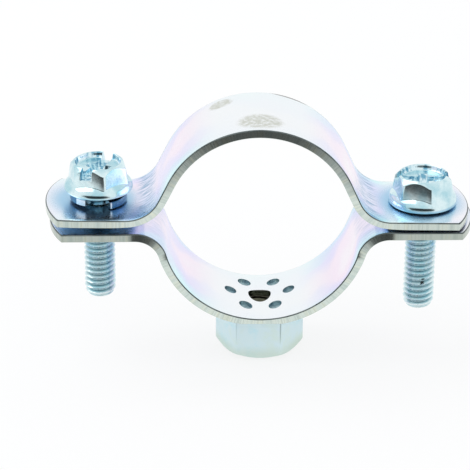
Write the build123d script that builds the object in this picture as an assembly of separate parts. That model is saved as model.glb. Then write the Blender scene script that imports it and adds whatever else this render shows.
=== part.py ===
from build123d import *
from math import acos, atan2, cos, hypot, radians, sin, sqrt, tan
import math
import os

os.makedirs("parts", exist_ok=True)

# All lengths in millimetres. +Y along the pipe, +Z up. The halves are drawn about the lower bend's centre,
# then everything is lifted so that the origin is the centre of the boss's lower face.

# Both straps
strap_width = 19.5
strap_thick = 1.5
ear_beyond_screw = 9.5
ear_end_radius = 19.6

# Lower half
lower_radius = 19.0
lower_fillet = 4.8
ear_below_axis = 0.78
weld_flat_depth = 0.45
centre_hole_dia = 4.5
punch_dia = 2.6
punch_depth = 0.55
punch_circle = 11.6

# Upper half
upper_radius = 17.7
upper_fillet = 6.8
upper_flank = 4.2
upper_rise = 1.03
upper_shift = 0.73
gap_left = 1.46
gap_right = 0.60

# Boss
boss_flats = 15.0
boss_height = 9.05
boss_turn = -3.7
boss_bore_dia = 6.8
boss_chamfer_dia = 13.4
weld_gap = 0.02

# Screws
shank_dia = 6.1
screw_length = 22.0
tip_chamfer = 0.9
flange_dia = 13.2
bearing_dia = 9.6
flange_lift = 0.45
flange_edge = 0.6
flange_cone = 1.7
head_flats = 11.0
head_taper = 6.0
head_height = 5.95
head_trim = 0.7
rim_trim = 0.5
rim_width = 0.7
dish_wall = 0.9
dish_depth = 1.1
slot_width = 1.9
slot_depth = 2.0
cross_span = 5.2
cross_width = 1.3
cross_depth = 3.0

# Split spring washer
washer_thick = 1.6
washer_band = 2.5
washer_arc = 330.0
washer_spring = 0.5
washer_start = 243.0

# Clearances
tapped_clear = 0.08
upper_hole_clear = 0.35
washer_clear = 0.15
seat_gap = 0.03


def bend_angle(radius, fillet, level, flank):
    # Angle from the top of the bow at which it runs tangent into flank and reverse bend
    reach = radius + fillet + strap_thick
    drop = level + fillet + strap_thick
    return acos(drop / hypot(reach, flank)) - atan2(flank, reach)


def bend_end(radius, fillet, level, flank):
    angle = bend_angle(radius, fillet, level, flank)
    return (radius + fillet + strap_thick) * sin(angle) + flank * cos(angle)


def on_arc(centre, radius, angle):
    return (centre[0] + radius * sin(angle), centre[1] + radius * cos(angle))


def strap_section(radius, fillet, level, flank, flat_depth, reach, up):
    # Half strap seen along the pipe: bow, flank, reverse bend and ear, mirrored about its middle
    angle = bend_angle(radius, fillet, level, flank)
    outside = radius + strap_thick
    flat = acos((outside - flat_depth) / outside)
    centre = (bend_end(radius, fillet, level, flank), level + fillet + strap_thick)
    wide = -(fillet + strap_thick)
    tight = -fillet
    o = (0, 0)
    runs = [
        (on_arc(o, radius, 0), on_arc(o, radius, angle / 2), on_arc(o, radius, angle)),
        (on_arc(centre, wide, angle), on_arc(centre, wide, angle / 2), on_arc(centre, wide, 0)),
        (on_arc(centre, tight, 0), on_arc(centre, tight, angle / 2), on_arc(centre, tight, angle)),
        (on_arc(o, outside, angle), on_arc(o, outside, (flat + angle) / 2), on_arc(o, outside, flat)),
    ]
    above = level + strap_thick
    joins = [(centre[0], level), (reach, level), (reach, above), (centre[0], above)]
    lines = [(joins[0], joins[1]), (joins[1], joins[2]), (joins[2], joins[3])]
    if flank > 0:
        lines += [(runs[0][2], runs[1][0]), (runs[2][2], runs[3][0])]
    edges = []
    for side in (1, -1):
        edges += [ThreePointArc(*[(side * p[0], up * p[1]) for p in run]) for run in runs]
        edges += [Line(*[(side * p[0], up * p[1]) for p in line]) for line in lines]
    if flat_depth > 0:
        edges.append(Line(*[(side * runs[3][2][0], up * runs[3][2][1]) for side in (1, -1)]))
    return make_face(edges)


def half_strap(radius, fillet, level, flank, flat_depth, reach, up):
    section = strap_section(radius, fillet, level, flank, flat_depth, reach + 1, up)
    strap = extrude(Plane.XZ * section, strap_width / 2, both=True)
    big = 4 * reach
    end = Pos(big / 2, 0, 0) * Box(big, big, big) - Cylinder(ear_end_radius, big)
    for turn in (0, 180):
        strap -= Rot(0, 0, turn) * Pos(reach - ear_end_radius, 0, 0) * end
    return strap


def screw(hex_turn, slot_turn):
    # Flange underside at z = 0, shank down, head up
    shank = revolve(Plane.XZ * make_face(Polyline(
        (0, 0.5), (shank_dia / 2, 0.5), (shank_dia / 2, tip_chamfer - screw_length),
        (shank_dia / 2 - 0.8 * tip_chamfer, -screw_length), (0, -screw_length), close=True)), Axis.Z)
    edge_top = flange_lift + flange_edge
    flange = revolve(Plane.XZ * make_face(Polyline(
        (0, 0), (bearing_dia / 2, 0), (flange_dia / 2, flange_lift), (flange_dia / 2, edge_top),
        (head_flats / 2, edge_top + flange_cone), (0, edge_top + flange_cone), close=True)), Axis.Z)
    foot = head_flats / sqrt(3)
    rim = head_flats / 2 - rim_trim
    dish_top = rim - rim_width
    corner = (head_flats / 2 - head_height * tan(radians(head_taper))) * 2 / sqrt(3)
    trim = revolve(Plane.XZ * make_face(Polyline(
        (0, 0), (foot + 1, 0), (foot + 1, head_height - head_trim), (corner, head_height - head_trim),
        (rim, head_height), (0, head_height), close=True)), Axis.Z)
    prism = extrude(RegularPolygon(foot, 6, rotation=hex_turn), head_height, taper=head_taper)
    head = prism & trim
    dish = revolve(Plane.XZ * make_face(Polyline(
        (0, head_height), (dish_top, head_height), (dish_top - dish_wall, head_height - dish_depth),
        (0, head_height - dish_depth), close=True)), Axis.Z)
    slot = Pos(0, 0, head_height) * Box(flange_dia, slot_width, 2 * slot_depth)
    wing = Pos(0, 0, head_height) * Box(cross_span, cross_width, 2 * cross_depth)
    recess = Rot(0, 0, slot_turn) * (dish + slot + wing + Rot(0, 0, 90) * wing)
    return shank + flange + (head - recess)


# Where things stand
upper_bend = bend_end(upper_radius, upper_fillet, -upper_rise, upper_flank)
screw_x = upper_bend - upper_shift + flange_dia / 2 + 0.05
ear_reach = screw_x + ear_beyond_screw
tilt = atan2(gap_left - gap_right, 2 * screw_x)
upper_ear_level = (gap_left + gap_right) / 2 - ear_below_axis
boss_top = weld_flat_depth - lower_radius - strap_thick
boss_bottom = boss_top - boss_height
ear_top_left = upper_ear_level + screw_x * tan(tilt) + strap_thick / cos(tilt)
ear_top_right = upper_ear_level - screw_x * tan(tilt) + strap_thick / cos(tilt)
washer_inner = shank_dia / 2 + washer_clear
washer_outer = washer_inner + washer_band
washer_z = ear_top_left + washer_outer * tan(tilt) + seat_gap
left_seat = washer_z + washer_thick + washer_spring + seat_gap
right_seat = ear_top_right + bearing_dia / 2 * tan(tilt) + seat_gap

# Lower half strap
lower_half = half_strap(lower_radius, lower_fillet, ear_below_axis, 0, weld_flat_depth, ear_reach, -1)
for side in (-1, 1):
    lower_half -= Pos(side * screw_x, 0, 0) * Cylinder(shank_dia / 2 + tapped_clear, 4 * lower_radius)
lower_half -= Pos(0, 0, boss_top) * Cylinder(centre_hole_dia / 2, 4 * strap_thick)
for step in range(6):
    turn = radians(60 * step)
    px = punch_circle / 2 * cos(turn)
    py = punch_circle / 2 * sin(turn)
    floor = -sqrt(lower_radius ** 2 - px ** 2) - punch_depth
    lower_half -= Pos(px, py, floor + 2 * strap_thick) * Cylinder(punch_dia / 2, 4 * strap_thick)

# Welded boss under it, its top shaped to the strap
boss_corner = boss_flats / sqrt(3)
prism = extrude(RegularPolygon(boss_corner, 6, rotation=boss_turn), boss_height + lower_radius)
rise = (boss_corner - boss_chamfer_dia / 2) * tan(radians(30))
chamfer = revolve(Plane.XZ * make_face(Polyline(
    (0, 0), (boss_chamfer_dia / 2, 0), (boss_corner, rise), (boss_corner + 1, rise),
    (boss_corner + 1, 3 * lower_radius), (0, 3 * lower_radius), close=True)), Axis.Z)
boss = Pos(0, 0, boss_bottom) * (prism & chamfer)
bow = Rot(90, 0, 0) * Cylinder(lower_radius + strap_thick + weld_gap, 4 * boss_flats)
bow &= Pos(0, 0, boss_top - weld_gap + 4 * lower_radius) * Box(*[8 * lower_radius] * 3)
boss -= bow
boss -= Pos(0, 0, boss_bottom) * Cylinder(boss_bore_dia / 2, 4 * boss_height)

# Upper half strap, tilted on its screws as in the photograph
upper_half = half_strap(upper_radius, upper_fillet, -upper_rise, upper_flank, 0, ear_reach, 1)
upper_half = Rot(0, math.degrees(tilt), 0) * Pos(0, 0, upper_rise) * upper_half
upper_half = Pos(-upper_shift, 0, upper_ear_level) * upper_half
for side in (-1, 1):
    upper_half -= Pos(side * screw_x, 0, 0) * Cylinder(shank_dia / 2 + upper_hole_clear, 4 * upper_radius)

# Screws
screw_left = Pos(-screw_x, 0, left_seat) * screw(41, 57)
screw_right = Pos(screw_x, 0, right_seat) * screw(40, -5)

# Split spring washer, one band wound less than a full turn
path = Helix(washer_spring * 360 / washer_arc, washer_spring, washer_inner + washer_band / 2)
start = Plane(origin=path @ 0, x_dir=(1, 0, 0), z_dir=path % 0)
band = sweep(start * Rectangle(washer_band, washer_thick), path=path, is_frenet=True)
spring_washer_left = Pos(-screw_x, 0, washer_z + washer_thick / 2) * Rot(0, 0, washer_start) * band

pieces = {
    "lower_half": lower_half,
    "boss": boss,
    "upper_half": upper_half,
    "screw_left": screw_left,
    "screw_right": screw_right,
    "spring_washer_left": spring_washer_left,
}
for name, piece in pieces.items():
    piece = Pos(0, 0, -boss_bottom) * piece
    solids = piece.solids()
    export_step(solids[0] if len(solids) == 1 else Compound(children=list(solids)), f"parts/{name}.step")
    box = piece.bounding_box()
    print(name, len(solids), "solid", round(piece.volume, 2), "mm3", box.min, box.max)
seat_x = upper_rise * sin(tilt) - upper_shift
seat_z = upper_ear_level + upper_rise * cos(tilt) - boss_bottom
print("screws at", round(screw_x, 3), "tilt", round(math.degrees(tilt), 3))
print("pipe seat at", round(seat_x, 4), round(seat_z, 4))
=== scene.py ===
from math import acos, atan2, ceil, cos, hypot, pi, radians, sin, sqrt, tan

import bmesh
import bpy
import numpy as np
from mathutils import Matrix, Vector


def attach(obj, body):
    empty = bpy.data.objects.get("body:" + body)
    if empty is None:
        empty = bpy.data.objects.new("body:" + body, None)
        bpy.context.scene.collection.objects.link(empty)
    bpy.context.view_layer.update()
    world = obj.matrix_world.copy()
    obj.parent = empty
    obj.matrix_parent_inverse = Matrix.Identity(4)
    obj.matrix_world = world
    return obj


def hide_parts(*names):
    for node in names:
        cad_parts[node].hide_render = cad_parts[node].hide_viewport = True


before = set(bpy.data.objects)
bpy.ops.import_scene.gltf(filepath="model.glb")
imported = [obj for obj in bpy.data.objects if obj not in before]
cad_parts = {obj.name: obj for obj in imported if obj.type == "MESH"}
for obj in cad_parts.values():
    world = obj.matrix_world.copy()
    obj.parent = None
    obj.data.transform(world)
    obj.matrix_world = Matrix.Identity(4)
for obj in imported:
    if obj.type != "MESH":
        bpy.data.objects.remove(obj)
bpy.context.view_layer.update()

# Sizes in millimetres, as in the part's source
MM = 0.001
WIDTH, THICK = 19.5, 1.5
END_RADIUS = 19.6
SCREW_X = 31.234
REACH = SCREW_X + 9.5
LOWER = dict(radius=19.0, fillet=4.8, level=0.78, flank=0.0)
UPPER = dict(radius=17.7, fillet=6.8, level=-1.03, flank=4.2)
UPPER_SHIFT, UPPER_LEVEL, TILT = 0.73, 0.25, radians(0.789)
LEFT_SEAT, RIGHT_SEAT, WASHER_SEAT = 33.5185, 30.5162, 31.3888
PUNCH_DEPTH = 0.55
SHANK_LENGTH, PITCH = 22.0, 1.12
BOSS_TURN, BOSS_APOTHEM = -3.7, 7.5

# From the boss's foot up to the lower bend's centre, and from there down to the flat on its bow
LIFT = 29.1
UNDERSIDE = 20.05

# Rounding of a sheared edge, on its worn side and on its keen one
ROUND, KEEN = 0.2, 0.06

# Places of the materials in a piece's own list
SHEET_FACE, SHEARED_FACE, PUNCHED_FACE, RIM_SHADE_FACE = range(4)
HEAD_FACE, THREAD_FACE, RECESS_FACE, UNDER_SHADE_FACE = range(4)


# Objects
def linked(name, data):
    ob = bpy.data.objects.new(name, data)
    bpy.context.scene.collection.objects.link(ob)
    return ob


def add_mesh(name, verts, faces, materials, kinds, smooth, uv=None, depth=None):
    # Takes millimetres, gives each face the material of its kind and keeps edges over smooth degrees sharp
    mesh = bpy.data.meshes.new(name)
    mesh.from_pydata([(x * MM, y * MM, z * MM) for x, y, z in verts], [], faces)
    for m in materials:
        mesh.materials.append(m)
    mesh.polygons.foreach_set("material_index", kinds)
    if uv is not None:
        layer = mesh.uv_layers.new(name="blank")
        for loop in mesh.loops:
            layer.data[loop.index].uv = uv[loop.vertex_index]
    if depth is not None:
        mesh.attributes.new("depth", "FLOAT", "POINT").data.foreach_set("value", depth)
    mesh.polygons.foreach_set("use_smooth", [True] * len(mesh.polygons))
    mesh.update()
    mesh.set_sharp_from_angle(angle=radians(smooth))
    return linked(name, mesh)


def temp_object(bm, name):
    bmesh.ops.recalc_face_normals(bm, faces=bm.faces)
    mesh = bpy.data.meshes.new(name)
    bm.to_mesh(mesh)
    bm.free()
    return linked(name, mesh)


def cut(base, cutter):
    # Gives back the cut mesh and clears the two objects away
    mod = base.modifiers.new("cut", "BOOLEAN")
    mod.operation = "DIFFERENCE"
    mod.solver = "EXACT"
    mod.object = cutter
    depsgraph = bpy.context.evaluated_depsgraph_get()
    mesh = bpy.data.meshes.new_from_object(base.evaluated_get(depsgraph))
    for ob in (base, cutter):
        data = ob.data
        bpy.data.objects.remove(ob)
        bpy.data.meshes.remove(data)
    return mesh


# Outlines and numbers
def sign(value):
    return 1 if value > 0 else -1


def full_turn(steps):
    return [2 * pi * i / steps for i in range(steps)]


def middle(outline):
    return sum(x for x, y in outline) / len(outline), sum(y for x, y in outline) / len(outline)


def oval(x, y, wide, high, lean=0.0, steps=44):
    upright = sqrt(1 - lean * lean)
    return [(x + wide * cos(t), y + high * (lean * cos(t) + upright * sin(t))) for t in full_turn(steps)]


def pulled_hole(steps=56):
    # The hole over the boss, flat behind and drawn out to the front by the weld
    half_width, centre = 2.32, 1.25
    back, back_power = 1.63, 0.62
    front, front_power = 3.45, 1.15
    outline = []
    for t in full_turn(steps):
        up = back * sin(t) ** back_power if sin(t) > 0 else -front * (-sin(t)) ** front_power
        outline.append((half_width * cos(t), centre + up))
    return outline


def profile(z, points):
    # Radius at a height, on straight lines between the given heights and radii
    for (z0, r0), (z1, r1) in zip(points, points[1:]):
        if z <= z1:
            return r0 + (r1 - r0) * (z - z0) / (z1 - z0)
    return points[-1][1]


def smooth_max(a, b, blend):
    h = max(0.0, 1 - abs(a - b) / blend)
    return max(a, b) + h * h * blend / 4


def hex_radius(angle, apothem, power, crown=0.0):
    # A hexagon with a corner at angle zero, rounder for a smaller power, its flats crowned
    total = sum(max(0.0, cos(angle - pi / 6 - k * pi / 3)) ** power for k in range(6))
    off = tan(angle % (pi / 3) - pi / 6) * sqrt(3)
    return (apothem + crown * (1 - off * off)) / total ** (1 / power)


# Straps: a flat blank with rounded edges is punched and then bent to the section
class Bend:
    STEP = 0.15
    EDGE = 2.4
    LEAN_GAIN, LEAN_MOST = 2.5, 0.22

    def __init__(self, radius, fillet, level, flank):
        reach = radius + fillet + THICK
        drop = level + fillet + THICK
        angle = acos(drop / hypot(reach, flank)) - atan2(flank, reach)
        mid = radius + THICK / 2
        centre = (reach * sin(angle) + flank * cos(angle), drop)
        # Half of the middle line: bow, flank, reverse bend and ear
        pts = [(mid * sin(a), mid * cos(a)) for a in np.linspace(0, angle, 160)]
        if flank:
            pts += [(mid * sin(angle) + k * cos(angle), mid * cos(angle) - k * sin(angle))
                    for k in np.linspace(0, flank, 24)[1:]]
        r = fillet + THICK / 2
        pts += [(centre[0] - r * sin(a), centre[1] - r * cos(a)) for a in np.linspace(angle, 0, 60)[1:]]
        pts += [(x, level + THICK / 2) for x in np.arange(centre[0] + 0.2, REACH + 3, 0.2)]
        half = np.array(pts)
        line = np.concatenate([half[:0:-1] * [-1, 1], half])
        run = np.concatenate([[0], np.cumsum(np.hypot(*np.diff(line, axis=0).T))])
        run -= run[-1] / 2
        self.s = np.arange(run[0], run[-1], self.STEP)
        self.s -= self.s.mean()
        self.x = np.interp(self.s, run, line[:, 0])
        self.z = np.interp(self.s, run, line[:, 1])
        tx, tz = np.gradient(self.x), np.gradient(self.z)
        n = np.hypot(tx, tz)
        self.nx, self.nz = -tz / n, tx / n
        self.tip = np.interp(REACH, self.x, self.s)
        # How sharply it bends, above zero where the side away from the pipe is the stretched one
        turn = -np.gradient(np.unwrap(np.arctan2(tz, tx))) / self.STEP
        soft = np.hanning(59)[1:-1]
        self.curve = np.convolve(turn, soft / soft.sum(), "same")
        # Where the reverse bend has its middle, along the blank
        self.fold = self.run(centre[0] - r * sin(angle) / 2)

    def at(self, s, w):
        x, z, nx, nz = (np.interp(s, self.s, a) for a in (self.x, self.z, self.nx, self.nz))
        return x + nx * w, z + nz * w

    def lean(self, s, w, v):
        # The stretched side of a bend is drawn in, so the sheared edge leans
        c = float(np.interp(s, self.s, self.curve))
        near = max(0.0, (abs(v) - WIDTH / 2 + self.EDGE) / self.EDGE) ** 2
        away = w + THICK / 2 if c > 0 else THICK / 2 - w
        return -sign(v) * near * away * min(self.LEAN_MOST, self.LEAN_GAIN * abs(c))

    def run(self, x):
        # Distance along the blank of a place that is given by its x
        return float(np.interp(x, self.x, self.s))


def plug(bm, outline, low, high, taper=1.0):
    # A punch with a closed outline, its low end scaled by the taper
    cx, cy = middle(outline)
    rings = [[bm.verts.new((cx + (x - cx) * k, cy + (y - cy) * k, z)) for x, y in outline]
             for z, k in ((low, taper), (high, 1.0))]
    n = len(outline)
    for i in range(n):
        j = (i + 1) % n
        bm.faces.new((rings[0][i], rings[0][j], rings[1][j], rings[1][i]))
    bm.faces.new(list(reversed(rings[0])))
    bm.faces.new(rings[1])


def quarter_round(size):
    # Heights and insets from the blank's face down to its edge, with one row more below them
    turns = [radians(30 * k) for k in range(4)]
    rows = [(THICK / 2 - size * (1 - cos(a)), size * (1 - sin(a))) for a in turns]
    return rows + [(rows[-1][0] - 0.02, 0)]


def blank(bend, holes, marks, burr):
    # Plate of the strap's full length with arched ends, subdivided for bending; the arch of an end
    # fades out over its last stretch, and the worn side of the edges is above for a burr of 1
    fade, column, rows, core = 16, 0.45, 22, 0.2
    low, high = (quarter_round(size) for size in ((KEEN, ROUND) if burr > 0 else (ROUND, KEEN)))
    levels = [(-w, inset) for w, inset in low] + [(-core, 0), (core, 0)] + high[::-1]
    last = len(levels) - 1
    bm = bmesh.new()
    tip = bend.tip
    columns = int(ceil(2 * tip / column))
    grid = {}
    for k, (w, inset) in enumerate(levels):
        for i in range(columns + 1):
            for j in range(rows + 1):
                if 0 < k < last and 0 < i < columns and 0 < j < rows:
                    continue
                v = WIDTH * (j / rows - 0.5)
                arch = END_RADIUS - sqrt(END_RADIUS ** 2 - v * v)
                u = (2 * i / columns - 1) * tip
                keep = max(0.0, (abs(u) - (tip - fade)) / fade)
                u -= sign(u) * arch * keep
                if i in (0, columns):
                    u -= sign(u) * inset
                if j in (0, rows):
                    v -= sign(v) * inset
                grid[i, j, k] = bm.verts.new((u, v, w))
    for i in range(columns):
        for j in range(rows):
            up, down = (i, j), (i, j + 1)
            far_up, far_down = (i + 1, j), (i + 1, j + 1)
            bm.faces.new([grid[p, q, last] for p, q in (up, far_up, far_down, down)])
            bm.faces.new([grid[p, q, 0] for p, q in (up, down, far_down, far_up)])
        for j in (0, rows):
            for h in range(last):
                bm.faces.new([grid[p, j, k] for p, k in ((i, h), (i + 1, h), (i + 1, h + 1), (i, h + 1))])
    for j in range(rows):
        for i in (0, columns):
            for h in range(last):
                bm.faces.new([grid[i, q, k] for q, k in ((j, h), (j + 1, h), (j + 1, h + 1), (j, h + 1))])
    plate = temp_object(bm, "plate")
    bm = bmesh.new()
    for outline in holes:
        plug(bm, outline, -THICK, THICK)
    for outline in marks:
        plug(bm, outline, -THICK / 2 + PUNCH_DEPTH, -THICK, taper=0.84)
    return cut(plate, temp_object(bm, "punch"))


def strap_kind(face, tip, marks, burr):
    # Which material a face of the flat blank gets
    front, tip_part, mark_radius, marks_reach, steep = -8, 3, 2.4, 8, 0.75
    n, c = face.normal, face.center
    # A dark line is painted along one side of the edge, in front and at the tips: painted shade standing in for the
    # rounded rim's dark reflection there
    rim = 0.2 < n.z * burr < 0.99 and c.z * burr > THICK / 2 - ROUND
    if rim and (c.y < front or abs(c.x) > tip - tip_part):
        return RIM_SHADE_FACE
    # Floors of the punch marks, which get the painted dark reflection
    if 0.05 < c.z + THICK / 2 < PUNCH_DEPTH + 0.02 and hypot(c.x, c.y) < marks_reach:
        if any(hypot(c.x - x, c.y - y) < mark_radius for x, y in marks):
            return PUNCHED_FACE
    return SHEARED_FACE if abs(n.z) < steep else SHEET_FACE


def strap(name, bend, up, holes, marks, materials, place, ear_lift=0.0, limit=99.0):
    # Up is 1 for the upper strap and -1 for the lower one, whose bow hangs down as far as the limit
    ear = 7
    mesh = blank(bend, holes, marks, up)
    verts, uv = [], []
    for vert in mesh.vertices:
        u, y, w = vert.co
        x, z = bend.at(u, w)
        z = min(z, limit)
        y += bend.lean(u, w, y)
        if ear_lift and u < 0:
            along = max(0.0, (-u - (bend.tip - ear)) / ear)
            z += ear_lift * along * along
        verts.append(place @ Vector((x, y, up * z)))
        uv.append((u / 100 + 0.5, y / 100 + 0.5))
    centres = [middle(outline) for outline in marks]
    kinds = [strap_kind(face, bend.tip, centres, up) for face in mesh.polygons]
    faces = [list(face.vertices)[::up] for face in mesh.polygons]
    bpy.data.meshes.remove(mesh)
    return add_mesh(name, verts, faces, materials, kinds, smooth=38, uv=uv)


# Round pieces: rings of points about an axis
def ring(angles, radii, heights):
    # A radius or height is one number for all points, or a list with one for each
    radii, heights = ([x] * len(angles) if isinstance(x, (int, float)) else x for x in (radii, heights))
    return [(r * cos(a), r * sin(a), z) for a, r, z in zip(angles, radii, heights)]


def rings_mesh(rings, close=False):
    # Walls between the rings, and a cap on the first and the last unless they close up
    verts = [p for row in rings for p in row]
    n, m = len(rings[0]), len(rings)
    faces = []
    for k in range(m if close else m - 1):
        a, b = k * n, ((k + 1) % m) * n
        faces += [(a + i, a + (i + 1) % n, b + (i + 1) % n, b + i) for i in range(n)]
    if not close:
        faces.append(tuple(range(n))[::-1])
        faces.append(tuple(range((m - 1) * n, m * n)))
    return verts, faces


# Heights and radii of the flange's cone and of the hexagon's trimmed top, radii and heights of the dish
FLANGE_CONE = [
    (0.86, 6.6), (1.0, 6.575), (1.2, 6.525), (1.41, 6.46), (1.6, 6.375), (1.8, 6.25), (2.0, 6.07),
    (2.2, 5.85), (2.4, 5.58), (2.6, 5.2), (2.8, 4.7), (3.3, 3.5), (5.95, 2.0)]
HEX_TRIM = [(0, 6.5), (4.55, 6.0), (5.0, 5.56), (5.3, 5.26), (5.6, 4.98), (5.8, 4.8), (5.95, 4.62)]
HEX_TOP = [5.25, 5.4, 5.5, 5.6, 5.7, 5.78, 5.85, 5.9, 5.93, 5.95]
DISH = [
    (4.5, 5.95), (4.42, 5.92), (4.34, 5.84), (4.28, 5.62), (4.21, 5.35), (4.13, 5.1), (3.98, 4.96),
    (3.6, 4.87), (2.6, 4.79), (0.05, 4.75)]


def wedge(length, width, low, high, narrow, short, turn):
    # A block about the screw's axis whose low end is narrower and shorter
    bm = bmesh.new()
    spin = Matrix.Rotation(radians(turn), 3, "Z")
    corners = ((-1, -1), (1, -1), (1, 1), (-1, 1))
    ends = ((short, narrow, low), (1, 1, high))
    q = [bm.verts.new(spin @ Vector((x * length * kx / 2, y * width * ky / 2, z)))
         for kx, ky, z in ends for x, y in corners]
    for f in ((3, 2, 1, 0), (4, 5, 6, 7), (0, 1, 5, 4), (1, 2, 6, 5), (2, 3, 7, 6), (3, 0, 4, 7)):
        bm.faces.new([q[i] for i in f])
    return temp_object(bm, "wedge")


def head_mesh(hex_turn, slot_turn, slot_low, rise):
    # Flange and head; rise is how far the flange's rim stands over its bearing face
    angles = full_turn(168)
    turn = radians(hex_turn)
    flange = [
        (0.05, 0), (2.9, 0), (4.7, 0), (4.9, 0.03), (6.3, rise - 0.04), (6.45, rise), (6.55, rise + 0.07),
        (6.6, rise + 0.2), (6.6, 0.86)]
    rings = [ring(angles, r, z) for r, z in flange]
    for z in list(np.linspace(0.94, 2.9, 22)) + list(np.linspace(3.1, 5.1, 11)) + HEX_TOP:
        # The flats lean in and curve a little, and the rim at the top is rounded
        over = z - 2.6
        side = 5.3 - 0.12 * over - 0.015 * over ** 2
        drawn_in = 0.12 * max(0.0, (z - 5.7) / 0.25) ** 2
        cone, trim = profile(z, FLANGE_CONE), profile(z, HEX_TRIM)
        flats = [min(hex_radius(a - turn, side, power=34, crown=0.07), trim) - drawn_in for a in angles]
        rings.append(ring(angles, [smooth_max(cone, r, blend=0.1) for r in flats], z))
    rings += [ring(angles, r, z) for r, z in DISH]
    mesh = bpy.data.meshes.new("head")
    verts, faces = rings_mesh(rings)
    mesh.from_pydata(verts, [], faces)
    bm = bmesh.new()
    bm.from_mesh(mesh)
    bpy.data.meshes.remove(mesh)
    head = temp_object(bm, "head")
    cuts = [dict(length=16, width=2.5, low=slot_low, high=7.0, narrow=0.8, short=1.0, turn=slot_turn)]
    for extra in (0, 90):
        cuts.append(dict(length=5.6, width=2.3, low=2.6, high=5.4, narrow=0.35, short=0.3, turn=slot_turn + extra))
    for size in cuts:
        head = linked("head", cut(head, wedge(**size)))
    mesh = head.data
    bpy.data.objects.remove(head)
    return mesh


def thread_mesh():
    # The shank from its tip up, and how deep each point lies, from 0 on a crest to 1 in a root
    crest, root, tip, start = 3.05, 2.36, 1.95, 0.35
    crest_half, flanks, flank_power = 0.02, 0.75, 0.9
    shoulder, cut_crests = 0.55, 1.2
    angles, per_turn = full_turn(84), 18
    height = SHANK_LENGTH - start
    count = int(height / PITCH * per_turn)
    rings = [ring(angles, tip, -SHANK_LENGTH)]
    depth = [0.0] * len(angles)
    for k in range(count + 1):
        z = -SHANK_LENGTH + height * k / count
        up = z + SHANK_LENGTH
        # The tip's chamfer, steep up to its shoulder
        chamfer = 2.25 + up * 0.9 if up < shoulder else 2.745 + (up - shoulder) * 0.3
        radii = []
        for a in angles:
            p = (z / PITCH - a / (2 * pi)) % 1
            t = min(1.0, max(0.0, (abs(p - 0.5) * 2 - crest_half) / flanks))
            full = crest - (crest - root) * t ** flank_power
            r = min(full, chamfer)
            radii.append(r)
            # Near the tip, where the chamfer cuts the crests, the painted root shade is halved
            depth.append((crest - r) / (crest - root) if up > cut_crests else (crest - full) / (crest - root) * 0.5)
        rings.append(ring(angles, radii, z))
    return (*rings_mesh(rings), depth)


def screw(name, x, seat, hex_turn, slot_turn, slot_low, rise, materials):
    head = head_mesh(hex_turn, slot_turn, slot_low, rise)
    verts = [tuple(v.co) for v in head.vertices]
    faces = [tuple(p.vertices) for p in head.polygons]
    slot_half, slot_floor, slot_reach = 1.2, 3.8, 5.6
    dish_reach, dish_low, cross_low = 4.4, 4.6, 2.0
    spin = radians(slot_turn)
    kinds = []
    for face in head.polygons:
        c = face.center
        out, off = hypot(c.x, c.y), abs(c.y * cos(spin) - c.x * sin(spin))
        in_slot = off < slot_half and c.z > slot_floor and out < slot_reach
        dish_floor = abs(face.normal.z) > 0.8 and c.z > dish_low
        if in_slot or out < dish_reach and c.z > cross_low and not dish_floor:
            kinds.append(RECESS_FACE)
        else:
            # The flange's underside is painted darker: painted shade under the flange, which the sheet mirrors
            kinds.append(UNDER_SHADE_FACE if c.z < rise - 0.02 else HEAD_FACE)
    bpy.data.meshes.remove(head)
    thread_verts, thread_faces, thread_depth = thread_mesh()
    base = len(verts)
    verts += thread_verts
    faces += [tuple(base + i for i in f) for f in thread_faces]
    kinds += [THREAD_FACE] * len(thread_faces)
    verts = [(vx + x, vy, vz + seat) for vx, vy, vz in verts]
    return add_mesh(name, verts, faces, materials, kinds, smooth=30, depth=[0.0] * base + thread_depth)


def washer(name, x, z0, materials):
    # A split ring; the cut ends and the outer wall beside them are painted brighter, as a painted highlight
    inner, outer, thick, rise, c = 3.2, 5.5, 1.4, 0.6, 0.16
    start, arc, steps = 296, 308, 96
    bright_first, bright_last, outer_wall = 1, 7, (3, 4)
    section = [
        (inner, c), (inner + c, 0), (outer - c, 0), (outer, c),
        (outer, thick - c), (outer - c, thick), (inner + c, thick), (inner, thick - c)]
    rings = []
    for k in range(steps + 1):
        a = radians(start + arc * k / steps)
        lift = rise * k / steps
        rings.append([(x + r * cos(a), r * sin(a), z0 + lift + z) for r, z in section])
    verts, faces = rings_mesh(rings)
    kinds = []
    for step in range(steps):
        near_end = step < bright_first or step >= steps - bright_last
        kinds += [1 if near_end and side in outer_wall else 0 for side in range(len(section))]
    kinds += [1, 1]
    return add_mesh(name, verts, [f[::-1] for f in faces], materials, kinds, smooth=35)


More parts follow.
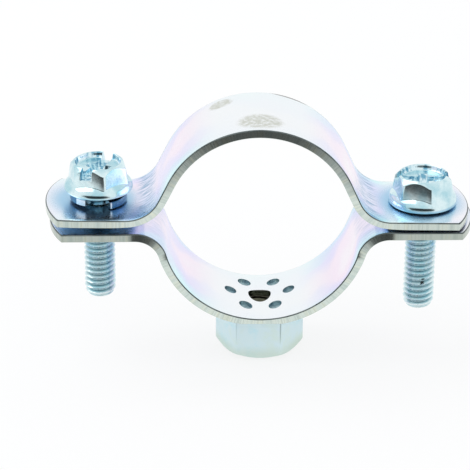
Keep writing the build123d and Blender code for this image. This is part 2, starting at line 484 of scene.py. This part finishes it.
def boss(name, materials):
    # Hexagon with a bevelled foot and a top that follows the strap, and its threaded bore
    bore, face, bevel = 3.4, 6.7, tan(radians(30))
    mouth, soft, drop = 0.55, 0.25, 0.03
    bore_pitch, bore_depth, bore_rows = 1.25, 0.45, 120
    outside = LOWER["radius"] + THICK
    angles = full_turn(192)
    edge = [hex_radius(a - radians(BOSS_TURN), BOSS_APOTHEM, power=110) for a in angles]

    def under(radii):
        # Heights of the strap's underside over the points of a ring
        across = [r * cos(a) for r, a in zip(radii, angles)]
        return [LIFT - min(UNDERSIDE, sqrt(outside ** 2 - x * x)) for x in across]

    rows = [ring(angles, bore + mouth, 0), ring(angles, face - soft, 0), ring(angles, face, drop)]
    for k in (0.15, 0.4, 0.7, 0.9):
        heights = [drop + (e - face) * k * bevel for e in edge]
        rows.append(ring(angles, [face + (e - face) * k for e in edge], heights))
    foot, top = [(e - face) * bevel for e in edge], under(edge)
    rows.append(ring(angles, [e - 0.02 for e in edge], [0.02 + z for z in foot]))
    for k in (0.02, 0.1, 0.25, 0.5, 0.75, 0.9, 1.0):
        rows.append(ring(angles, edge, [low + (high - low) * k for low, high in zip(foot, top)]))
    for k in (0.25, 0.5, 0.75, 1.0):
        radii = [e + (bore - e) * k for e in edge]
        rows.append(ring(angles, radii, under(radii)))
    outer_faces = len(rows) * len(angles)
    for k in range(bore_rows + 1):
        z = (LIFT - UNDERSIDE - 0.1) * (1 - k / bore_rows) + 0.45 * k / bore_rows
        turns = [(z / bore_pitch - a / (2 * pi)) % 1 for a in angles]
        rows.append(ring(angles, [bore + bore_depth * (abs(p - 0.5) * 2) for p in turns], z))
    verts, faces = rings_mesh(rows, close=True)
    # The bore's faces take the second material, painted dark as shade inside the bore
    kinds = [1 if k >= outer_faces else 0 for k in range(len(faces))]
    return add_mesh(name, verts, faces, materials, kinds, smooth=28)


# Materials
class Graph:
    # The nodes of a material or of the world
    def __init__(self, tree):
        self.nodes = tree.nodes
        self.link = tree.links.new

    def node(self, kind, **settings):
        made = self.nodes.new("ShaderNode" + kind)
        for name, value in settings.items():
            setattr(made, name, value)
        return made

    def feed(self, sockets, **values):
        # A socket takes what another node gives, a colour, or a plain number or vector
        for name, value in values.items():
            socket = sockets[name.replace("_", " ")]
            if isinstance(value, bpy.types.NodeSocket):
                self.link(value, socket)
            else:
                socket.default_value = (*value, 1) if socket.type == "RGBA" else value

    def place(self):
        return self.node("TexCoord").outputs["Object"]

    def split(self, vector):
        parts = self.node("SeparateXYZ")
        self.feed(parts.inputs, Vector=vector)
        return parts.outputs

    def mapped(self, source, location, scale):
        mapping = self.node("Mapping")
        self.feed(mapping.inputs, Vector=source, Location=location, Scale=scale)
        return mapping.outputs["Vector"]

    def blank_mm(self):
        # Place on the strap's flat blank: along it and across it, in millimetres from its middle
        uv = self.node("UVMap", uv_map="blank").outputs["UV"]
        return self.mapped(uv, (-50, -50, 0), (100, 100, 1))

    def away(self, source, centre, size):
        # How far from a centre, with 1 on an oval of the given half sizes
        length = self.node("VectorMath", operation="LENGTH")
        location = [-c / r for c, r in zip(centre, size)]
        self.link(self.mapped(source, location, [1 / r for r in size]), length.inputs[0])
        return length.outputs["Value"]

    def noise(self, scale, detail=3, rough=0.5, stretch=None, source=None):
        if source is None:
            source = self.place()
        if stretch:
            source = self.mapped(source, (0, 0, 0), stretch)
        texture = self.node("TexNoise")
        self.feed(texture.inputs, Vector=source, Scale=scale, Detail=detail, Roughness=rough)
        return texture.outputs["Fac"]

    def ramp(self, source, *stops):
        made = self.node("ValToRGB")
        made.color_ramp.interpolation = "EASE"
        elements = made.color_ramp.elements
        while len(elements) < len(stops):
            elements.new(0.5)
        for k, (position, color) in enumerate(stops):
            elements[k].position = position
            elements[k].color = (*color, 1)
        self.feed(made.inputs, Fac=source)
        return made.outputs["Color"]

    def span(self, source, low, high, start=0.0, end=1.0, smooth=True):
        # Goes from start to end while the source goes from low to high
        made = self.node("MapRange", interpolation_type="SMOOTHSTEP" if smooth else "LINEAR")
        self.feed(made.inputs, Value=source, From_Min=low, From_Max=high, To_Min=start, To_Max=end)
        return made.outputs["Result"]

    def calc(self, how, *values):
        made = self.node("Math", operation=how)
        for k, value in enumerate(values):
            if isinstance(value, bpy.types.NodeSocket):
                self.link(value, made.inputs[k])
            else:
                made.inputs[k].default_value = value
        return made.outputs[0]

    def mix(self, share, a, b):
        made = self.node("Mix", data_type="RGBA")
        self.feed(made.inputs, Factor=share, A=a, B=b)
        return made.outputs["Result"]

    def bump(self, shader, source, strength, distance):
        made = self.node("Bump")
        self.feed(made.inputs, Height=source, Strength=strength, Distance=distance)
        self.feed(shader.inputs, Normal=made.outputs["Normal"])

    def rays(self):
        # One for what the camera sees straight or through glass, and one for what metal sees
        path = self.node("LightPath").outputs
        return self.calc("MAXIMUM", path["Is Camera Ray"], path["Is Transmission Ray"]), path["Is Glossy Ray"]


def material(name, build, *values, **options):
    made = bpy.data.materials.new(name)
    made.use_nodes = True
    graph = Graph(made.node_tree)
    build(graph, graph.nodes["Principled BSDF"], *values, **options)
    return made


CYAN, SKY, VIOLET = (0.60, 0.92, 0.97), (0.62, 0.76, 0.97), (0.74, 0.70, 0.97)
PINK, PALE, WHITE = (0.93, 0.78, 0.92), (0.94, 0.86, 0.94), (0.91, 0.96, 0.97)
RING_REFLECTION_BLUE, MARK_BLUE, BEND_BLUE = (0.30, 0.58, 0.80), (0.22, 0.40, 0.60), (0.56, 0.74, 0.95)
SCUFF, NICK, SPECK = (0.60, 0.62, 0.56), (0.16, 0.15, 0.14), (0.42, 0.47, 0.55)


def zinc_sheet(g, shader, bend, stretch, scuffs=(), nicks=()):
    # Stretch is how strongly the marks of bending show
    flat = g.blank_mm()
    parts = g.split(flat)
    off = g.calc("ABSOLUTE", parts["X"])
    # Thin film colours, strongest on the flanks of the bow and bluer towards the long edges
    edge = g.calc("POWER", g.calc("ABSOLUTE", parts["Y"]), 2)
    hue = g.calc("ADD", g.noise(0.07, 2, 0.5, (1, 0.8, 1), flat), 0.1)
    hue = g.calc("ADD", hue, g.calc("MULTIPLY", edge, -0.0034))
    film = g.ramp(hue, (0.22, CYAN), (0.36, SKY), (0.47, VIOLET), (0.62, PINK), (0.80, PALE), (0.95, WHITE))
    flank = g.span(off, 7, 18, 0.1, 0.8)
    ear = g.span(off, bend.fold + 1, bend.fold + 5, 1.0, 0.35)
    color = g.mix(g.calc("MULTIPLY", flank, ear), WHITE, film)
    # A painted reflection round about each screw: bluer, standing in for the shaded flange and washer mirrored in
    # the sheet, and duller
    about = g.node("CombineXYZ")
    g.feed(about.inputs, X=off, Y=parts["Y"])
    from_screw = g.away(about.outputs[0], (bend.run(SCREW_X), 0, 0), (1, 1, 1))
    reflection_ring = g.span(from_screw, 6, 10.6, 0.85, 0.0)
    color = g.mix(reflection_ring, color, RING_REFLECTION_BLUE)
    # Feathered stretch marks across the reverse bends
    near = g.calc("ABSOLUTE", g.calc("SUBTRACT", off, bend.fold - 1.6))
    band = g.span(near, 0.8, 3.4, 1.0, 0.0)
    feather = g.noise(0.9, 3, 0.6, (0.24, 2.2, 1), flat)
    marks = g.calc("MULTIPLY", band, g.span(feather, 0.46, 0.58, 0.0, stretch))
    color = g.mix(g.calc("MULTIPLY", band, 0.6 * stretch), color, BEND_BLUE)
    color = g.mix(marks, color, MARK_BLUE)
    fine = g.noise(2.2, 4, 0.65, (1, 0.35, 1), flat)
    rough = g.span(fine, 0.3, 0.7, 0.19, 0.24, smooth=False)
    rough = g.calc("ADD", rough, g.calc("MULTIPLY", reflection_ring, 0.12))
    for centre, size in scuffs:
        spot = g.span(g.away(flat, centre, size), 0.75, 1.15, 1.0, 0.0)
        worn = g.span(g.noise(1.1, 5, 0.7, source=flat), 0.36, 0.56, 0.15, 0.9)
        patchy = g.calc("MULTIPLY", spot, worn)
        color = g.mix(patchy, color, SCUFF)
        rough = g.calc("ADD", rough, g.calc("MULTIPLY", patchy, 0.2))
    for centre, size in nicks:
        color = g.mix(g.span(g.away(flat, centre, size), 0.7, 1.1, 0.85, 0.0), color, NICK)
    specks = g.span(g.noise(1.9, 2, source=flat), 0.71, 0.77, 0.0, 0.4)
    color = g.mix(specks, color, SPECK)
    g.feed(shader.inputs, Base_Color=color, Roughness=rough, Metallic=1.0)
    waves = g.calc("MULTIPLY", g.noise(0.5, 2, source=flat), 0.5)
    g.bump(shader, g.calc("ADD", waves, g.calc("MULTIPLY", marks, -1.0)), 0.1, 0.00005)


def sheared(g, shader, bend, ear_shade):
    # The last number is how much darker the ears' own edges are painted: painted shade standing in for their darker
    # reflection
    flat = g.blank_mm()
    color = g.ramp(g.noise(0.7, 3, 0.6, source=flat),
                   (0.3, (0.56, 0.66, 0.63)), (0.5, (0.66, 0.74, 0.69)), (0.7, (0.70, 0.75, 0.64)))
    lines = g.noise(3.0, 3, 0.6, (1, 0.15, 1), flat)
    color = g.mix(g.span(lines, 0.45, 0.65, 0.0, 0.5), color, (0.46, 0.54, 0.50))
    off = g.calc("ABSOLUTE", g.split(flat)["X"])
    # Painted shade on the ears' edges, beyond the reverse bend
    color = g.mix(g.span(off, bend.fold + 1, bend.fold + 6, 0.0, ear_shade), color, (0.20, 0.22, 0.18))
    g.feed(shader.inputs, Base_Color=color, Roughness=0.13, Metallic=1.0)
    g.bump(shader, lines, 0.1, 0.0001)


def punched(g, shader):
    # The punch marks' floors are painted dark teal-grey: a painted reflection of the darker room in front, over
    # their grain
    grain = g.noise(1500, 2)
    color = g.ramp(grain, (0.3, (0.22, 0.34, 0.38)), (0.7, (0.42, 0.58, 0.62)))
    g.feed(shader.inputs, Base_Color=color, Roughness=0.4, Metallic=0.8)
    g.bump(shader, grain, 0.2, 0.0001)


def dull_zinc(g, shader):
    color = g.ramp(g.noise(170, 4, 0.65),
                   (0.32, (0.60, 0.84, 0.91)), (0.5, (0.70, 0.86, 0.90)), (0.68, (0.70, 0.85, 0.83)))
    low = g.span(g.split(g.place())["Z"], 0.0008, 0.0035, 0.7, 0.0)
    color = g.mix(low, color, (0.62, 0.74, 0.64))
    # Painted shade: darker lines down the two corners in front, standing in for their dark reflection
    corner = 0.0086
    for turn, strength in ((BOSS_TURN - 60, 0.55), (BOSS_TURN - 120, 0.2)):
        at = (corner * cos(radians(turn)), corner * sin(radians(turn)), 0.0078)
        near = g.away(g.place(), at, (0.00016, 0.0006, 0.0045))
        color = g.mix(g.span(near, 0.6, 1.1, strength, 0.0), color, (0.16, 0.22, 0.22))
    fine = g.noise(1800, 3, 0.6)
    g.feed(shader.inputs, Base_Color=color, Metallic=0.7, Roughness=g.span(fine, 0.3, 0.7, 0.4, 0.5, smooth=False))
    g.bump(shader, fine, 0.12, 0.0001)


def bright_zinc(g, shader, rough, colors, metal=1.0, streak=0.0):
    # Two colours in soft patches, or in upright streaks
    if streak:
        patches, stops = g.noise(1200, 2, 0.5, (1, 1, 0.12)), (0.36, 0.58)
    else:
        patches, stops = g.noise(260), (0.35, 0.65)
    color = g.ramp(patches, *zip(stops, colors))
    fine = g.span(g.noise(1400, 3, 0.6), 0.3, 0.7, *rough, smooth=False)
    g.feed(shader.inputs, Base_Color=color, Roughness=fine, Metallic=metal)
    g.bump(shader, patches, max(0.1, streak), 0.0003)


def threaded(g, shader):
    patches = g.noise(300)
    color = g.ramp(patches, (0.35, (0.56, 0.78, 0.83)), (0.65, (0.70, 0.84, 0.86)))
    # Painted shade in the roots and a painted highlight on the crests, from how deep each point lies
    depth = g.node("Attribute", attribute_name="depth").outputs["Fac"]
    color = g.mix(g.span(depth, 0.3, 0.9, 0.0, 0.7), color, (0.16, 0.30, 0.36))
    color = g.mix(g.span(depth, 0.05, 0.4, 0.7, 0.0), color, (0.88, 0.95, 0.97))
    # The black speck on the right screw
    near = g.away(g.place(), (0.03176, -0.0030, 0.0149), (0.0006, 0.0009, 0.00042))
    color = g.mix(g.span(near, 0.7, 1.1, 1.0, 0.0), color, (0.02, 0.02, 0.02))
    rough = g.span(patches, 0.3, 0.7, 0.2, 0.3, smooth=False)
    g.feed(shader.inputs, Base_Color=color, Roughness=rough, Metallic=1.0)
    g.bump(shader, patches, 0.1, 0.0002)


lower_bend = Bend(**LOWER)
upper_bend = Bend(**UPPER)
SHEET = material("zinc_sheet_lower", zinc_sheet, lower_bend, 0.25)
TOP = material(
    "zinc_sheet_upper", zinc_sheet, upper_bend, 0.8,
    scuffs=[((0, -5, 0), (4.2, 3.4, 1)), ((-7.2, 6.6, 0), (2.4, 1.9, 1))],
    nicks=[((6.2, 9.4, 0), (3.9, 0.6, 1))])
SHEARED = material("sheared_edge_lower", sheared, lower_bend, 0.45)
TOP_SHEARED = material("sheared_edge_upper", sheared, upper_bend, 0.1)
PUNCHED_REFLECTION = material("punched_floor_painted_reflection", punched)
BOSS = material("dull_zinc", dull_zinc)
THREAD = material("screw_thread", threaded)
RIM_SHADE, BORE_SHADE, HEAD, UNDER_SHADE, WASHER_SHADE, WASHER_GLINT = (
    material(name, bright_zinc, rough, colors, metal) for name, rough, colors, metal in (
        # Painted shade: the dark line along the sheared edges' rim
        ("sheared_rim_painted_shade", (0.4, 0.5), ((0.05, 0.07, 0.07), (0.13, 0.16, 0.16)), 0.0),
        # Painted shade: the bore is nearly black
        ("boss_bore_painted_shade", (0.3, 0.4), ((0.07, 0.07, 0.05), (0.16, 0.16, 0.12)), 1.0),
        ("screw_head", (0.10, 0.17), ((0.42, 0.68, 0.76), (0.74, 0.90, 0.93)), 1.0),
        # Painted shade: the flange's underside is darker than the head
        ("flange_underside_painted_shade", (0.2, 0.3), ((0.34, 0.52, 0.64), (0.44, 0.62, 0.72)), 1.0),
        # Painted shade: the washer is dark navy, standing in for the shade under the flange and the dark reflection
        # it shows
        ("washer_painted_shade", (0.14, 0.2), ((0.08, 0.17, 0.30), (0.16, 0.30, 0.42)), 1.0),
        # Painted highlight on the washer's ends
        ("washer_end_painted_highlight", (0.15, 0.2), ((0.95, 0.93, 0.96), (0.97, 0.97, 0.98)), 1.0)))
# Painted shade and highlight: the slot and cross are darker than the head, in upright streaks
RECESS_SHADE = material(
    "screw_recess_painted_shade", bright_zinc, (0.12, 0.2), ((0.16, 0.40, 0.55), (0.70, 0.87, 0.92)), streak=0.3)

# Pieces; the punch marks have a place, half sizes and a lean, and lie on both sides of the middle
TAPPED_RADIUS, CLEAR_RADIUS = 3.13, 3.4
PUNCH_MARKS = ((3.0, 5.9, 1.48, 1.55, 0.2), (6.05, 1.4, 1.4, 1.5, 0.12), (3.0, -3.9, 1.5, 1.75, 0.25))
EAR_BOW = 0.35
lift = Matrix.Translation((0, 0, LIFT))
holes = [oval(lower_bend.run(side * SCREW_X), 0, TAPPED_RADIUS, TAPPED_RADIUS) for side in (-1, 1)]
marks = [oval(side * u, v, wide, high, side * lean) for side in (-1, 1) for u, v, wide, high, lean in PUNCH_MARKS]
lower = strap(
    "lower_strap", lower_bend, -1, holes + [pulled_hole()], marks, [SHEET, SHEARED, PUNCHED_REFLECTION, RIM_SHADE], lift,
    limit=UNDERSIDE)
place = lift @ Matrix.Translation((-UPPER_SHIFT, 0, UPPER_LEVEL))
place = place @ Matrix.Rotation(TILT, 4, "Y") @ Matrix.Translation((0, 0, -UPPER["level"]))
holes = [oval(upper_bend.run(side * SCREW_X + UPPER_SHIFT), 0, CLEAR_RADIUS, CLEAR_RADIUS) for side in (-1, 1)]
upper = strap(
    "upper_strap", upper_bend, 1, holes, [], [TOP, TOP_SHEARED, PUNCHED_REFLECTION, RIM_SHADE], place, ear_lift=EAR_BOW)
nut = boss("welded_boss", [BOSS, BORE_SHADE])
screw_materials = [HEAD, THREAD, RECESS_SHADE, UNDER_SHADE]
left = screw(
    "left_hex_screw", -SCREW_X, LEFT_SEAT, hex_turn=41, slot_turn=65, slot_low=3.85, rise=0.46,
    materials=screw_materials)
right = screw(
    "right_hex_screw", SCREW_X, RIGHT_SEAT, hex_turn=40, slot_turn=-3, slot_low=4.5, rise=0.24,
    materials=screw_materials)
split = washer("split_washer", -SCREW_X, WASHER_SEAT, [WASHER_SHADE, WASHER_GLINT])

for piece, node, body, slot in (
        (lower, "lower_half", "base", "strap_steel"), (nut, "boss", "base", "boss_steel"),
        (upper, "upper_half", "top", "strap_steel"), (split, "spring_washer_left", "top", "washer_steel"),
        (left, "screw_left", "left_screw", "screw_steel"), (right, "screw_right", "right_screw", "screw_steel")):
    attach(piece, body)
    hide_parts(node)

# Camera fitted to the photograph
data = bpy.data.cameras.new("camera")
data.lens = 173.477
data.sensor_width = 36
data.clip_start = 0.01
cam = linked("camera", data)
cam.location = (-0.01699, -0.39707, 0.18341 + LIFT * MM)
cam.rotation_euler = [radians(a) for a in (64.5611, -0.3616, -1.5652)]
bpy.context.scene.camera = cam

# Floor, white to the camera, with a light shadow
FLOOR_HALF, FLOOR_Z = 3, -0.0002
ROOM_LEVEL = 0.045
bm = bmesh.new()
for x, y in ((-1, -1), (1, -1), (1, 1), (-1, 1)):
    bm.verts.new((x * FLOOR_HALF, y * FLOOR_HALF, FLOOR_Z))
bm.faces.new(bm.verts)
floor = temp_object(bm, "floor")


def white_floor(g, shader):
    g.feed(shader.inputs, Base_Color=(0.86, 0.88, 0.9), Roughness=0.8)
    seen, glossy = g.rays()
    # The white sweep ends in front of the object, where metal sees the darker room
    place = g.place()
    parts = g.split(place)
    near = g.span(parts["Y"], -0.28, -0.06, ROOM_LEVEL, 1.0, smooth=False)
    slant = g.calc("SUBTRACT", g.calc("DIVIDE", parts["X"], parts["Y"]), 0.07)
    aside = g.span(g.calc("ABSOLUTE", slant), 0.72, 0.86)
    glow = g.node("Emission")
    g.feed(glow.inputs, Strength=g.calc("MAXIMUM", seen, g.calc("MAXIMUM", near, aside)))
    share = g.calc("MAXIMUM", g.calc("MULTIPLY", seen, 0.8), g.calc("MULTIPLY", glossy, 0.95))
    # No glow right under the boss's bore
    bore = g.span(g.away(place, (0, 0, 0), (1, 1, 1)), 0.004, 0.0065)
    blend = g.node("MixShader")
    g.feed(blend.inputs, Fac=g.calc("MULTIPLY", share, bore))
    g.link(shader.outputs[0], blend.inputs[1])
    g.link(glow.outputs[0], blend.inputs[2])
    g.link(blend.outputs[0], g.nodes["Material Output"].inputs["Surface"])


floor.data.materials.append(material("floor_white", white_floor))

# World: white studio with the darker room low in front
world = bpy.data.worlds.new("studio")
bpy.context.scene.world = world
world.use_nodes = True
g = Graph(world.node_tree)
flattened = g.mapped(g.node("TexCoord").outputs["Generated"], (0, 0, 0), (1.1, 1, 3.5))
unit = g.node("VectorMath", operation="NORMALIZE")
g.link(flattened, unit.inputs[0])
ahead = g.node("VectorMath", operation="DOT_PRODUCT")
g.link(unit.outputs["Vector"], ahead.inputs[0])
ahead.inputs[1].default_value = Vector((-0.155, -1, 0)).normalized()
room = g.span(ahead.outputs["Value"], cos(radians(52)), cos(radians(38)), 0.98, ROOM_LEVEL)
g.feed(g.nodes["Background"].inputs, Strength=g.calc("MAXIMUM", g.rays()[0], room), Color=(1, 1, 1))

bpy.context.scene.view_settings.view_transform = "Standard"

light = bpy.data.lights.new("key", "AREA")
light.size = 0.6
light.energy = 1.5
key = linked("key", light)
key.location = (-0.4, 0.1, 0.7)
key.rotation_euler = (Vector((0, 0, 0.03)) - key.location).to_track_quat("-Z", "Y").to_euler()
